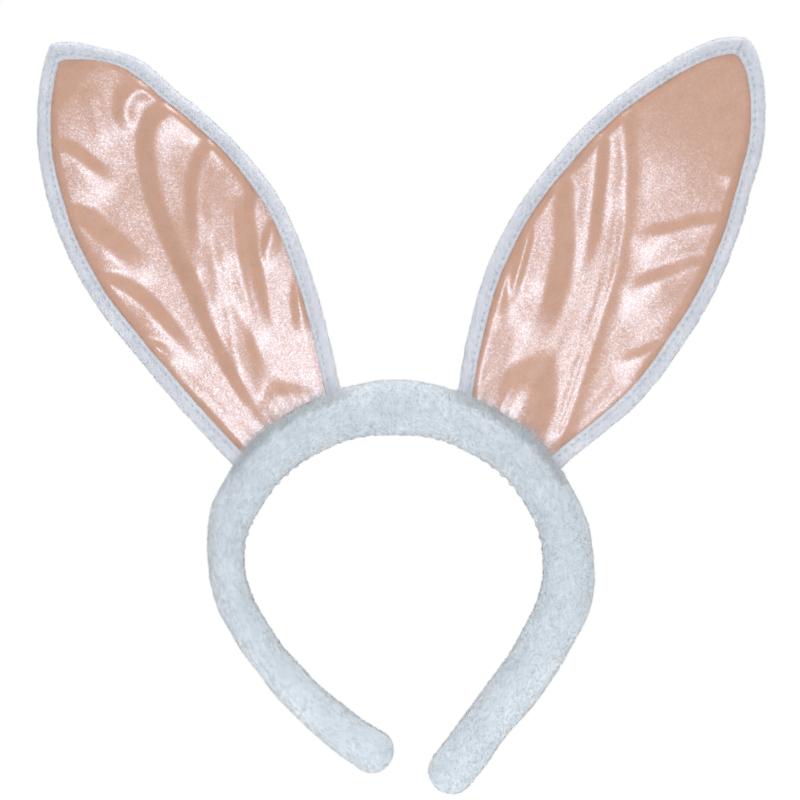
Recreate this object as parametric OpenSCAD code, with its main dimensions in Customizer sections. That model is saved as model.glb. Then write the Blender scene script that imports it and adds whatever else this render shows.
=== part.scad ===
// Animal ears headband: a padded plush band with two tilting satin-fronted ears.
// X is to the viewer's right, the satin side faces -Y, and Z is up as worn.
// The origin is the middle of the crown's inner face, where the band sits on the head.

/* [Band] */
// Radius of the crown's centre line, seen from the front
crown_r = 74; // [70:1:78]
// In-plane thickness of the padded band at the top of the crown
crown_t = 23; // [21:0.5:24]
// In-plane thickness of the band at the left shoulder
shoulder_t_left = 19; // [18:0.5:21]
// In-plane thickness of the band at the right shoulder
shoulder_t_right = 20.5; // [18:0.5:22]
// Front-to-back depth of the crown
crown_depth = 25; // [22:0.5:27]
// Front-to-back depth of the arms below the shoulders
arm_depth = 23; // [20:0.5:25]
// Front-to-back depth at the arms' tips
tip_depth = 19; // [17:0.5:21]
// Angle from the top of the crown down to each shoulder
shoulder_angle = 64; // [62:1:68]
// Thickness of the plush cover, backing and pile together
cover_wall = 2.5; // [2:0.1:3]

/* [Core strip] */
// Thickness of the springy core strip
core_t = 1.6; // [1.2:0.1:2]
// Front-to-back width of the core strip
core_w = 14; // [10:0.5:15]

/* [Ears] */
// Length of the left ear from the band's outer face to its tip
left_ear_len = 184; // [170:1:190]
// Length of the right ear from the band's outer face to its tip
right_ear_len = 186; // [170:1:190]
// Sideways lean of each ear away from upright
ear_lean = 31.5; // [28:0.5:34]
// Half width of an ear at its base
ear_base_w = 28.5; // [26:0.5:30]
// Front-to-back thickness of an ear at its bound edge
ear_t = 7; // [6.4:0.1:7.2]
// Width of the plush binding seen round the satin
border_w = 7; // [6:0.5:9]
// Radius of the ear's edge wire
wire_r = 0.6; // [0.4:0.05:0.7]

/* [Stitches] */
// Distance from one topstitch to the next
topstitch_pitch = 3.4; // [3:0.1:5]
// Length of one topstitch
topstitch_len = 2.2; // [1.6:0.1:2.4]
// Distance from one seam stitch of the band to the next
seam_pitch = 6; // [5:0.5:10]

/* [Motion] */
// Furthest that an arm springs outwards, in degrees
arm_open = 18; // [10:1:20]
// Furthest that an arm is squeezed inwards, in degrees
arm_close = 3; // [1:0.5:3]

/* [Hidden] */

plush = [0.93, 0.95, 0.98];
foam = [0.97, 0.93, 0.78];
satin_pink = [0.94, 0.76, 0.69];
thread_white = [0.85, 0.88, 0.92];

// Each arm's centre line below its shoulder: [distance from the middle plane, height, thickness].
// Both lists run from just below the shoulder to the tip; the left arm is built mirrored.
left_arm_line = [
    [70, -45, 16], [69.5, -60, 15.5], [62.5, -77.5, 15.5], [48.5, -97.5, 15.5], [27.5, -119, 17],
    [2, -136.5, 19]
];
right_arm_line = [
    [71.5, -46, 21.5], [72, -62, 22], [66.5, -79, 22], [54, -100, 21], [35.5, -124, 19.5],
    [17.5, -148, 20.5]
];

// Where each ear's base meets the band, and the half widths and roundness of its outline.
// Sides are named from the ear's own base: outer is away from the other ear.
// [angle round the crown, base radius, length, outer half width, inner half width,
//  outer roundness, inner roundness, direction]
left_ear = [34.5, 83.5, left_ear_len, 41, 47, 1.15, 1.4, -1];
right_ear = [36.5, 85.5, right_ear_len, 43, 46.5, 1.4, 1.25, 1];

crown_z = crown_t / 2 - crown_r;        // height of the crown's centre
ring_n = 20;                            // points round a section of the band
crown_step = 5.333;                     // degrees between two sections of the crown
line_steps = 3;                         // sections between two points of an arm's line
tip_steps = 5;                          // sections that round an arm's tip
fit_gap = 0.2;                          // clearance between the band's layers
slot_gap = 0.3;                         // clearance round the core strip
hinge_gap = 0.35;                       // each side of a shoulder's hinge plane
wedge_spare = 1;                        // degrees of room beyond the arm's travel
core_end = 12;                          // length of padding beyond the end of the core strip
stitch_w = 0.5;                         // thickness of a thread

ear_clear = 3.2;                        // gap between an ear's base edge and the band's cover
ear_widest = 82;                        // height of the widest place of an ear
base_power = 1.6;                       // how fast the outline swells above the base
tip_power = 2.15;                       // how fast the outline closes towards the tip
leaf_steps = 12;                        // points from the widest place to the tip
leaf_foot = -7;                         // outline's start, inside the arc that trims the base
leaf_t = 0.8;                           // thickness of the binding's front and back leaves
satin_t = 0.6;
interlining_t = 2.5;
back_t = 1.6;
layer_gap = 0.1;
wire_inset = 2.1;
panel_inset = 3.2;
satin_tuck = 2.5;                       // how far the satin runs under the binding
topstitch_inset = border_w - 2;
ear_trim_r = crown_r + (crown_t + shoulder_t_right) / 4 + ear_clear;

// ---- Lines and sections --------------------------------------------------------------------

function unit(v) = v / norm(v);

// A point at fraction f between p[1] and p[2] of four neighbouring points
function spline(p, f) = 0.5 * ((2 * p[1]) + (p[2] - p[0]) * f
    + (2 * p[0] - 5 * p[1] + 4 * p[2] - p[3]) * f * f
    + (3 * p[1] - p[0] - 3 * p[2] + p[3]) * f * f * f);

function crown_point(a) = [crown_r * sin(a), crown_z + crown_r * cos(a)];

function shoulder_t(side) = side < 0 ? shoulder_t_left : shoulder_t_right;

// In-plane thickness and depth of the crown at an angle from its top
function crown_size(a) = let (f = abs(a) / shoulder_angle)
    [crown_t + (shoulder_t(a) - crown_t) * f, crown_depth + (arm_depth - crown_depth) * f];

// An arm's line with its depth added, led in by a point of the crown and the shoulder itself
function arm_points(line, side) = let (
        n = len(line),
        lead = crown_point(shoulder_angle - 12),
        top = crown_point(shoulder_angle),
        t = shoulder_t(side),
        body = [for (i = [0:n - 1])
            [line[i][0], line[i][1], line[i][2], i < n - 1 ? arm_depth : tip_depth]],
        all = concat([[lead[0], lead[1], t, arm_depth], [top[0], top[1], t, arm_depth]], body)
    ) concat(all, [2 * all[n + 1] - all[n]]);

// [x, z, thickness, depth] at position u, where 0 is the shoulder and n is the tip
function arm_at(points, u) = let (
        last = len(points) - 4,
        i = max(0, min(floor(u), last))
    ) spline([for (k = [0:3]) points[i + k]], u - i);

function arm_way(points, u) = let (a = arm_at(points, u + 0.02), b = arm_at(points, u - 0.02))
    unit([a[0] - b[0], a[1] - b[1]]);

function arm_end(points) = len(points) - 3;

// Length of the last stretch of an arm's line, which carries the rounded tip
function last_stretch(points) = let (n = arm_end(points))
    norm([for (k = [0:1]) points[n + 1][k] - points[n][k]]);

// How far a section's point lies back from the hinge plane, for its distance h off the line
function hinge_cut(h) = hinge_gap + (h > 0 ? h * tan(arm_open / 2 + wedge_spare)
                                           : -h * tan(arm_close / 2 + wedge_spare));

// A section: its centre p and way are in the XZ plane; outline is a list of [h, y] offsets.
// cut is 1 or -1 where the section ends at a hinge, and the other sections have 0.
function section(p, way, outline, cut) = [for (o = outline)
    let (s = cut * hinge_cut(o[0]))
    [p[0] - way[1] * o[0] + way[0] * s, o[1], p[1] + way[0] * o[0] + way[1] * s]];

function oval(t, depth) = [for (i = [0:ring_n - 1])
    let (a = 360 * i / ring_n) [t / 2 * cos(a), depth / 2 * sin(a)]];

// The core strip's slot, with as many points round it as an oval has
function slot_outline() = let (h = core_t / 2 + slot_gap, y = core_w / 2 + slot_gap)
    [for (i = [0:ring_n - 1])
        let (a = 360 * i / ring_n, c = cos(a), s = sin(a), k = 1 / max(abs(c), abs(s)))
        [h * c * k, y * s * k]];

function crown_section(a, inset, cut, slot) = let (size = crown_size(a))
    section(crown_point(a), [cos(a), -sin(a)],
            slot ? slot_outline() : oval(size[0] - 2 * inset, size[1] - 2 * inset), cut);

function crown_rings(inset, slot = false) = [
    crown_section(-shoulder_angle, inset, 1, slot),
    for (a = [crown_step - shoulder_angle:crown_step:shoulder_angle - crown_step / 2])
        crown_section(a, inset, 0, slot),
    crown_section(shoulder_angle, inset, -1, slot)
];

// Sections of an arm from its shoulder to its tip, inset by a distance all round
function arm_rings(points, inset) = let (
        n = arm_end(points),
        stretch = last_stretch(points),
        round_r = points[n + 1][2] / 2 - inset,
        u_round = n - (inset + round_r) / stretch
    ) [
        for (u = [0:1 / line_steps:u_round - 0.1]) let (q = arm_at(points, u))
            section(q, arm_way(points, u), oval(q[2] - 2 * inset, q[3] - 2 * inset), u == 0 ? 1 : 0),
        for (k = [0:tip_steps - 1]) let (
                a = 90 * k / tip_steps,
                u = u_round + round_r * sin(a) / stretch,
                q = arm_at(points, u)
            )
            section(q, arm_way(points, u),
                    oval((q[2] - 2 * inset) * cos(a), (q[3] - 2 * inset) * cos(a)), 0)
    ];

function arm_pole(points, inset) = let (
        n = arm_end(points),
        q = arm_at(points, n - inset / last_stretch(points))
    ) [q[0], 0, q[1]];

function core_u(points) = arm_end(points) - core_end / last_stretch(points);

function slot_rings(points) = let (end = core_u(points) + slot_gap / last_stretch(points)) [
    for (u = [0:1 / line_steps:end - 0.1])
        section(arm_at(points, u), arm_way(points, u), slot_outline(), u == 0 ? 1 : 0),
    section(arm_at(points, end), arm_way(points, end), slot_outline(), 0)
];

function slot_pole(points) = let (q = arm_at(points, core_u(points) + slot_gap / last_stretch(points)))
    [q[0], 0, q[1]];

function reversed(v) = [for (i = [len(v) - 1:-1:0]) v[i]];

function flat(v) = [for (row = v) each row];

function band_faces(rows, n, loops) = [
    for (i = [0:rows - (loops ? 1 : 2)], j = [0:n - 1])
        let (a = i * n, b = ((i + 1) % rows) * n, k = (j + 1) % n)
            each [[a + j, b + j, b + k], [a + j, b + k, a + k]]
];

// A closed skin over sections that end in a point at each end
module skin(rings, start, end) {
    n = len(rings[0]);
    rows = len(rings);
    last = (rows - 1) * n;
    polyhedron(
        points = concat(flat(rings), [start, end]),
        faces = concat(
            band_faces(rows, n, false),
            [for (j = [0:n - 1]) [rows * n, j, (j + 1) % n]],
            [for (j = [0:n - 1]) [rows * n + 1, last + (j + 1) % n, last + j]]
        )
    );
}

// A closed skin over sections that come back to the first one
module skin_loop(rings) {
    n = len(rings[0]);
    polyhedron(points = flat(rings), faces = band_faces(len(rings), n, true));
}

module in_front_plane(width) rotate([90, 0, 0]) linear_extrude(width, center = true) children();

// ---- Band ----------------------------------------------------------------------------------

module crown_core() {
    half = shoulder_angle - hinge_gap / crown_r * 180 / PI;
    translate([0, 0, crown_z]) rotate([90, 0, 0]) rotate(90 - half)
        rotate_extrude(angle = 2 * half, $fn = 180) translate([crown_r, 0])
            square([core_t, core_w], center = true);
}

module crown_layer(outer, inner, slot) {
    skin_loop(concat(crown_rings(outer), reversed(crown_rings(inner, slot))));
}

module arm_core(points) {
    stops = [for (u = [0:1 / line_steps:core_u(points) - 0.1]) u, core_u(points)];
    sides = [for (h = [-core_t / 2, core_t / 2]) [for (u = stops) let (
            q = arm_at(points, u),
            way = arm_way(points, u),
            s = u == 0 ? hinge_gap : 0
        ) [q[0] - way[1] * h + way[0] * s, q[1] + way[0] * h + way[1] * s]]];
    in_front_plane(core_w) polygon(concat(sides[0], reversed(sides[1])));
}

module arm_padding(points) {
    inset = cover_wall + fit_gap;
    skin(concat(reversed(slot_rings(points)), arm_rings(points, inset)),
         slot_pole(points), arm_pole(points, inset));
}

module arm_cover(points) {
    skin(concat(reversed(arm_rings(points, cover_wall)), arm_rings(points, 0)),
         arm_pole(points, cover_wall), arm_pole(points, 0));
}

// One closing stitch on the inner face, h below the band's centre line
module seam_stitch(p, way, h) {
    translate([p[0] + way[1] * h, 0, p[1] - way[0] * h])
        rotate([0, -atan2(way[1], way[0]), 0]) rotate([0, 0, 35])
            cube([3.2, stitch_w, stitch_w], center = true);
}

module crown_seam() {
    step = seam_pitch / crown_r * 180 / PI;
    count = floor((shoulder_angle - 4) / step);
    for (i = [-count:count]) let (a = i * step)
        seam_stitch(crown_point(a), [cos(a), -sin(a)], crown_size(a)[0] / 2 + stitch_w);
}

module arm_seam(points) {
    line = [for (u = [0:0.1:arm_end(points) - 0.4]) arm_at(points, u)];
    along = lengths([for (q = line) [q[0], q[1]]]);
    stops = [for (i = [0:len(line) - 1]) [along[i], i * 0.1]];
    for (s = [seam_pitch:seam_pitch:along[len(line) - 1]]) let (
            u = lookup(s, stops),
            q = arm_at(points, u)
        )
        seam_stitch(q, arm_way(points, u), q[2] / 2 + stitch_w);
}

module on_left() mirror([1, 0, 0]) children();

left_points = arm_points(left_arm_line, -1);
right_points = arm_points(right_arm_line, 1);

module band_core_crown() color("lightgrey") crown_core();
module band_padding_crown() color(foam) crown_layer(cover_wall + fit_gap, 0, true);
module band_cover_crown() color(plush) crown_layer(0, cover_wall, false);
module band_seam_crown() color(thread_white) crown_seam();

module band_core_left() color("lightgrey") on_left() arm_core(left_points);
module band_padding_left() color(foam) on_left() arm_padding(left_points);
module band_cover_left() color(plush) on_left() arm_cover(left_points);
module band_seam_left() color(thread_white) on_left() arm_seam(left_points);

module band_core_right() color("lightgrey") arm_core(right_points);
module band_padding_right() color(foam) arm_padding(right_points);
module band_cover_right() color(plush) arm_cover(right_points);
module band_seam_right() color(thread_white) arm_seam(right_points);

// ---- Ears ----------------------------------------------------------------------------------

// Half width of an ear at height v, for a widest half width w inset by d
function leaf_width(v, w, len, roundness, d) = let (
        top = len - 1.3 * d,
        base = ear_base_w - d,
        wide = w - d
    ) v < ear_widest
        ? base + (wide - base) * (1 - pow((ear_widest - v) / ear_widest, base_power))
        : wide * pow(max(0, 1 - pow((v - ear_widest) / (top - ear_widest), tip_power)),
                     1 / roundness);

// One edge of the leaf from its foot to the tip, on the side that sign gives
function leaf_edge(w, len, roundness, d, sign) = let (top = len - 1.3 * d) [
    for (v = [leaf_foot:8.9:ear_widest - 1]) [sign * leaf_width(v, w, len, roundness, d), v],
    for (k = [0:leaf_steps - 1]) let (
            v = ear_widest + (top - ear_widest) * sin(90 * k / leaf_steps)
        ) [sign * leaf_width(v, w, len, roundness, d), v]
];

// The leaf's whole edge from the foot of its outer side, over the tip, to the other foot
function leaf_line(ear, d) = concat(
    leaf_edge(ear[3], ear[2], ear[5], d, ear[7]),
    [[0, ear[2] - 1.3 * d]],
    reversed(leaf_edge(ear[4], ear[2], ear[6], d, -ear[7]))
);

function lengths(p) = [
    for (i = 0, s = 0; i < len(p);
         s = s + (i + 1 < len(p) ? norm(p[i + 1] - p[i]) : 0), i = i + 1) s
];

// Distance of a point of the leaf from the crown's centre
function from_crown(ear, p) = let (turn = ear[0] - ear_lean, s = ear[7])
    norm([ear[1] * sin(turn) * s + p[0], ear[1] * cos(turn) + p[1]]);

// Moves a shape drawn in the leaf's own plane, [across, depth, up], to its place on the band
module on_band(ear) {
    translate([0, 0, crown_z]) rotate([0, ear[7] * ear[0], 0]) translate([0, 0, ear[1]])
        rotate([0, ear[7] * (ear_lean - ear[0]), 0]) children();
}

// A layer of the ear between two depths, trimmed to an arc that stays clear of the band
module ear_layer(ear, y0, y1) {
    difference() {
        on_band(ear) translate([0, (y0 + y1) / 2, 0]) in_front_plane(y1 - y0) children();
        translate([0, 0, crown_z]) rotate([90, 0, 0])
            cylinder(h = 4 * ear_t, r = ear_trim_r, center = true, $fn = 180);
    }
}

module leaf(ear, d) polygon(leaf_line(ear, d));

y_front = -ear_t / 2;
y_back = ear_t / 2;
y_satin = y_front + leaf_t + layer_gap;
y_interlining = y_satin + satin_t + layer_gap;
y_back_panel = y_interlining + interlining_t + layer_gap;

module ear_satin(ear) color(satin_pink)
    ear_layer(ear, y_satin, y_satin + satin_t) leaf(ear, border_w - satin_tuck);

module ear_interlining(ear) color("whitesmoke")
    ear_layer(ear, y_interlining, y_interlining + interlining_t) leaf(ear, panel_inset);

module ear_back(ear) color(plush)
    ear_layer(ear, y_back_panel, y_back_panel + back_t) leaf(ear, panel_inset);

module ear_binding(ear) color(plush) difference() {
    ear_layer(ear, y_front, y_back) difference() {
        leaf(ear, 0);
        leaf(ear, border_w);
    }
    on_band(ear) in_front_plane(ear_t - 2 * leaf_t) leaf(ear, 1);
}

module ear_wire(ear) color("silver") {
    line = [for (p = leaf_line(ear, wire_inset)) if (from_crown(ear, p) > ear_trim_r + 1.5) p];
    n = len(line);
    sides = 8;
    ways = [for (i = [0:n - 1]) unit(line[min(i + 1, n - 1)] - line[max(i - 1, 0)])];
    rings = [for (i = [0:n - 1]) [for (k = [0:sides - 1]) let (
            a = 360 * k / sides,
            h = wire_r * cos(a)
        ) [line[i][0] - ways[i][1] * h, wire_r * sin(a), line[i][1] + ways[i][0] * h]]];
    ends = [for (i = [0, n - 1]) [line[i][0], 0, line[i][1]]];
    on_band(ear) if (ear[7] > 0) skin(reversed(rings), ends[1], ends[0]);
                 else skin(rings, ends[0], ends[1]);
}

// A row of stitches along a line in the leaf's plane, on the face at depth y
module stitch_row(line, y, pitch, size) {
    along = lengths(line);
    xs = [for (i = [0:len(line) - 1]) [along[i], line[i][0]]];
    zs = [for (i = [0:len(line) - 1]) [along[i], line[i][1]]];
    for (s = [pitch:pitch:along[len(line) - 1] - pitch]) let (
            a = [lookup(s - size / 2, xs), lookup(s - size / 2, zs)],
            b = [lookup(s + size / 2, xs), lookup(s + size / 2, zs)],
            way = b - a
        )
        translate([(a[0] + b[0]) / 2, y, (a[1] + b[1]) / 2])
            rotate([0, -atan2(way[1], way[0]), 0])
                cube([size, stitch_w, stitch_w], center = true);
}

module ear_topstitch(ear) color(thread_white) {
    line = [for (p = leaf_line(ear, topstitch_inset))
        if (from_crown(ear, p) > ear_trim_r + 2) p];
    on_band(ear) stitch_row(line, y_front - stitch_w / 2, topstitch_pitch, topstitch_len);
}

// The stitches that hold the ear's foot, on its back face just above the trimmed edge
module ear_base_stitches(ear) color(thread_white) {
    foot = [for (u = [-ear_base_w + 3:3:ear_base_w - 3])
        [u, sqrt(pow(ear_trim_r + 2.5, 2) - u * u) - ear[1]]];
    on_band(ear) stitch_row(foot, y_back + stitch_w / 2, 4.5, 3);
}

module left_ear_satin() ear_satin(left_ear);
module left_ear_interlining() ear_interlining(left_ear);
module left_ear_back() ear_back(left_ear);
module left_ear_binding() ear_binding(left_ear);
module left_ear_wire() ear_wire(left_ear);
module left_ear_topstitch() ear_topstitch(left_ear);
module left_ear_base_stitches() ear_base_stitches(left_ear);

module right_ear_satin() ear_satin(right_ear);
module right_ear_interlining() ear_interlining(right_ear);
module right_ear_back() ear_back(right_ear);
module right_ear_binding() ear_binding(right_ear);
module right_ear_wire() ear_wire(right_ear);
module right_ear_topstitch() ear_topstitch(right_ear);
module right_ear_base_stitches() ear_base_stitches(right_ear);

band_core_crown();
band_padding_crown();
band_cover_crown();
band_seam_crown();
band_core_left();
band_padding_left();
band_cover_left();
band_seam_left();
band_core_right();
band_padding_right();
band_cover_right();
band_seam_right();
left_ear_satin();
left_ear_interlining();
left_ear_back();
left_ear_binding();
left_ear_wire();
left_ear_topstitch();
left_ear_base_stitches();
right_ear_satin();
right_ear_interlining();
right_ear_back();
right_ear_binding();
right_ear_wire();
right_ear_topstitch();
right_ear_base_stitches();
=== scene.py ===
"""Looks of an animal ears headband: a plush band on a sprung core with two satin-fronted ears.

Shapes are worked out in millimetres and mesh_piece() turns them into metres. X is to the viewer's
right, the satin side faces -Y and Z is up. The origin is the middle of the crown's inner face.
An ear's own coordinates are u, across it to the viewer's right, and v, from its base to its tip.
"""

import math
from dataclasses import dataclass

import bpy
import numpy as np
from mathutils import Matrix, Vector, noise


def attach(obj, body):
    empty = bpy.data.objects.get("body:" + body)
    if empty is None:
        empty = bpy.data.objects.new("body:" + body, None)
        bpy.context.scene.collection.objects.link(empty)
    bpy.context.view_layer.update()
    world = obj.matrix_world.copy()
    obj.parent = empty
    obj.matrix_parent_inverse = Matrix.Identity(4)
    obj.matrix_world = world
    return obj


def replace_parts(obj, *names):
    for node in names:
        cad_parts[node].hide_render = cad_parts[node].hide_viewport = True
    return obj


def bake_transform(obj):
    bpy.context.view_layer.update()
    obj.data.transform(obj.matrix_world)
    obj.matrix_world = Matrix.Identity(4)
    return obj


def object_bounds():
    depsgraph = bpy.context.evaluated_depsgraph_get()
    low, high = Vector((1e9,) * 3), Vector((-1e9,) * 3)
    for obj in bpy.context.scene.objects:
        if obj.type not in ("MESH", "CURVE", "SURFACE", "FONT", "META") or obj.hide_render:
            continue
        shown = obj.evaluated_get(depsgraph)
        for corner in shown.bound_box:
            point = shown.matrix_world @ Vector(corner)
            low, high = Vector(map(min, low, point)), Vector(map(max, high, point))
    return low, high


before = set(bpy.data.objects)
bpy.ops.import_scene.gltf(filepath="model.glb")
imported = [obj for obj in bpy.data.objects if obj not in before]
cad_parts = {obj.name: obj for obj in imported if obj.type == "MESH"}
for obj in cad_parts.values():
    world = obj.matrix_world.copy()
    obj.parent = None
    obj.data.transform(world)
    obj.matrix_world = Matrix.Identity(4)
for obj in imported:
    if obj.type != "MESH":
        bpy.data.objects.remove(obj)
cad_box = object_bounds()

MM = 0.001
rng = np.random.default_rng(11)

# ---- Dimensions of the CAD model, in mm and degrees ------------------------------------------

CROWN_R, CROWN_T, CROWN_DEPTH = 74.0, 23.0, 25.0
SHOULDER_T = {"left": 19.0, "right": 20.5}
SHOULDER_ANGLE = 64.0
ARM_DEPTH, TIP_DEPTH = 23.0, 19.0
COVER_WALL, FIT_GAP = 2.5, 0.2
CORE_T, CORE_W, SLOT_GAP, CORE_END = 1.6, 14.0, 0.3, 12.0
CROWN_Z = CROWN_T / 2 - CROWN_R

# Each arm's centre line below its shoulder: [distance from the middle plane, height, thickness]
ARM_LINE = {
    "left": [[70, -45, 16], [69.5, -60, 15.5], [62.5, -77.5, 15.5], [48.5, -97.5, 15.5],
             [27.5, -119, 17], [2, -136.5, 19]],
    "right": [[71.5, -46, 21.5], [72, -62, 22], [66.5, -79, 22], [54, -100, 21],
              [35.5, -124, 19.5], [17.5, -148, 20.5]],
}
SIGN = {"left": -1, "right": 1}

EAR_LEAN, EAR_BASE_W, EAR_WIDEST = 31.5, 28.5, 82.0
BASE_POWER, TIP_POWER = 1.6, 2.15
BORDER_W, SATIN_TUCK, PANEL_INSET = 7.0, 2.5, 3.2
TIP_INSET = 1.3                     # how fast the tip draws in as the outline is inset
HINGE_R = 88.075                    # distance of the ears' tilt axes from the crown's centre


@dataclass
class Ear:
    """One ear's place on the crown and its outline. Minus is its side at -u, and plus at +u.

    The CAD outline is smooth. The wander is the unevenness of the sewn edge on top of it.
    """
    side: str
    angle: float
    base_r: float
    length: float
    half: dict
    roundness: dict
    wander: dict                    # (v, outward shift) points
    foot: float = -13.0             # where the outline starts, inside the band

    def place(self, u, y, v):
        """Points of the ear, given in its own coordinates, in the row frame."""
        sign, lean = SIGN[self.side], math.radians(EAR_LEAN)
        base_x = sign * self.base_r * math.sin(math.radians(self.angle))
        base_z = CROWN_Z + self.base_r * math.cos(math.radians(self.angle))
        x = base_x + u * math.cos(lean) + v * sign * math.sin(lean)
        z = base_z - u * sign * math.sin(lean) + v * math.cos(lean)
        return np.stack(np.broadcast_arrays(x, y, z), axis=-1)

    def own(self, points):
        """(u, v) of points given in the row frame."""
        sign, lean = SIGN[self.side], math.radians(EAR_LEAN)
        x, _, z = (points - self.place(0.0, 0.0, 0.0)).T
        return (x * math.cos(lean) - z * sign * math.sin(lean),
                x * sign * math.sin(lean) + z * math.cos(lean))

    def half_width(self, v, edge, inset):
        """Half width at height v, on the side that edge gives, of the outline inset all round."""
        base, wide = EAR_BASE_W - inset, self.half[edge] - inset
        rise = np.clip((EAR_WIDEST - v) / EAR_WIDEST, 0, None) ** BASE_POWER
        close = np.clip((v - EAR_WIDEST) / (self.top(inset) - EAR_WIDEST), 0, 1) ** TIP_POWER
        above = wide * np.clip(1 - close, 0, 1) ** (1 / self.roundness[edge])
        smooth_half = np.where(v < EAR_WIDEST, base + (wide - base) * (1 - rise), above)
        heights, shifts = smooth_line(self.wander[edge]).T
        return smooth_half + np.interp(v, heights, shifts)

    def top(self, inset):
        return self.length - TIP_INSET * inset

    def edge_point(self, way, inset):
        """(u, v) on the inset outline. way runs from -1, the foot at -u, over the tip at 0, to 1."""
        climb = 1 - np.abs(way)
        low = 0.5                   # share of each side that lies below the widest place
        turn = np.sin(np.pi / 2 * np.clip((climb - low) / (1 - low), 0, 1))
        v = np.where(climb < low, self.foot + (EAR_WIDEST - self.foot) * climb / low,
                     EAR_WIDEST + (self.top(inset) - EAR_WIDEST) * turn)
        minus, plus = (self.half_width(v, e, inset) for e in ("minus", "plus"))
        return np.where(way < 0, -minus, plus), v

    def from_crown(self, u, v):
        """Distance of a point of the ear from the crown's centre."""
        p = self.place(u, 0, v)
        return np.hypot(p[..., 0], p[..., 2] - CROWN_Z)

    def floor_v(self, u, radius):
        """Height v at which the ear's point at u is that far from the crown's centre."""
        turn = math.radians(self.angle - EAR_LEAN)
        across = u + SIGN[self.side] * self.base_r * math.sin(turn)
        return np.sqrt(radius ** 2 - across ** 2) - self.base_r * math.cos(turn)


EARS = [
    Ear("left", 34.5, 83.5, 184.0, {"minus": 41.0, "plus": 47.0}, {"minus": 1.15, "plus": 1.4},
        {"minus": [(0, 0), (50, -1), (80, 0), (145, 1.5), (170, 1), (184, 0)],
         "plus": [(0, 0), (72, 1), (95, 0), (136, -2), (159, 1.5), (170, 0), (184, 0)]}),
    Ear("right", 36.5, 85.5, 186.0, {"minus": 46.5, "plus": 43.0}, {"minus": 1.25, "plus": 1.4},
        {"minus": [(0, 0), (20, 1.5), (50, 2), (90, -1), (115, -2), (150, -1.5), (180, 2.5), (186, 1)],
         "plus": [(0, 0), (35, 3), (65, 1), (90, -0.5), (130, -3), (150, -1.5), (186, -1)]}),
]

# ---- Curves and noise -------------------------------------------------------------------------


def unit(vectors):
    """The vectors along the last axis, each at length 1."""
    return vectors / np.linalg.norm(vectors, axis=-1, keepdims=True)


def smooth(x):
    """A soft step from 0 at x = 0 to 1 at x = 1."""
    t = np.clip(x, 0, 1)
    return t * t * (3 - 2 * t)


def soft_step(x, bend=0.25):
    """A step from 0 to 1 that is straight but for a rounded share, bend, at each end."""
    t = np.clip(x, 0, 1)
    near = np.minimum(t, 1 - t)
    rise = np.where(near < bend, near ** 2 / (2 * bend * (1 - bend)), (near - bend / 2) / (1 - bend))
    return np.where(t < 0.5, rise, 1 - rise)


def catmull(p, f):
    """A point at fraction f between p[1] and p[2] of four neighbouring points."""
    return 0.5 * (2 * p[1] + (p[2] - p[0]) * f + (2 * p[0] - 5 * p[1] + 4 * p[2] - p[3]) * f ** 2
                  + (3 * p[1] - p[0] - 3 * p[2] + p[3]) * f ** 3)


def lengths(points):
    """Distance along a line of points at each of them."""
    return np.concatenate([[0], np.cumsum(np.linalg.norm(np.diff(points, axis=0), axis=1))])


def at_lengths(points, along, stops):
    """Rows of points read off at distances along their line."""
    return np.stack([np.interp(stops, along, column) for column in points.T], axis=1)


def curve(knots, steps):
    """Points of a smooth line through all knots but the first and the last."""
    return [catmull(knots[i:i + 4], f) for i in range(len(knots) - 3)
            for f in np.linspace(0, 1, steps, endpoint=False)] + [knots[-2]]


def smooth_line(knots):
    """A smooth line through given points."""
    k = np.array(knots, float)
    return np.array(curve(np.vstack([2 * k[0] - k[1], k, 2 * k[-1] - k[-2]]), 12))


def lumps(points, size, seed=0):
    """Soft noise, about -1 to 1, with lumps about size mm across."""
    shift = Vector((seed * 7.3, seed * 3.1, seed * 5.7))
    flat = points.reshape(-1, 3) / size
    values = [noise.noise(Vector(p) + shift) for p in flat]
    return np.array(values).reshape(points.shape[:-1])


# ---- Meshes -----------------------------------------------------------------------------------


def mesh_piece(name, points, faces, material, slot, sharp=None):
    """A smooth-shaded piece from points in mm and faces, all with the same number of corners."""
    mesh = bpy.data.meshes.new(name)
    points, faces = np.asarray(points, float).reshape(-1, 3), np.asarray(faces, np.int32)
    mesh.vertices.add(len(points))
    mesh.vertices.foreach_set("co", (points * MM).ravel())
    mesh.loops.add(faces.size)
    mesh.loops.foreach_set("vertex_index", faces.ravel())
    mesh.polygons.add(len(faces))
    mesh.polygons.foreach_set("loop_start", np.arange(0, faces.size, faces.shape[1]))
    mesh.update(calc_edges=True)
    mesh.shade_smooth()
    if sharp is not None:
        ends = np.zeros(len(mesh.edges) * 2, np.int32)
        mesh.edges.foreach_get("vertices", ends)
        marked = sharp[ends.reshape(-1, 2)].all(axis=1)
        layer = mesh.attributes.new("sharp_edge", "BOOLEAN", "EDGE")
        layer.data.foreach_set("value", marked)
    piece = bpy.data.objects.new(name, mesh)
    bpy.context.scene.collection.objects.link(piece)
    mesh.materials.append(material)
    return piece


def ring_faces(rows, n):
    """Quads between rows of n points, each row a closed ring."""
    i = np.arange(rows - 1)[:, None]
    j = np.arange(n)[None, :]
    a, b, k = i * n, (i + 1) * n, (j + 1) % n
    return np.stack(np.broadcast_arrays(a + j, b + j, b + k, a + k), axis=-1).reshape(-1, 4)


def grid_faces(rows, n):
    """Quads between rows of n points that don't close."""
    i, j = np.arange(rows - 1)[:, None] * n, np.arange(n - 1)[None, :]
    a = i + j
    return np.stack([a, a + n, a + n + 1, a + 1], axis=-1).reshape(-1, 4)


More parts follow.
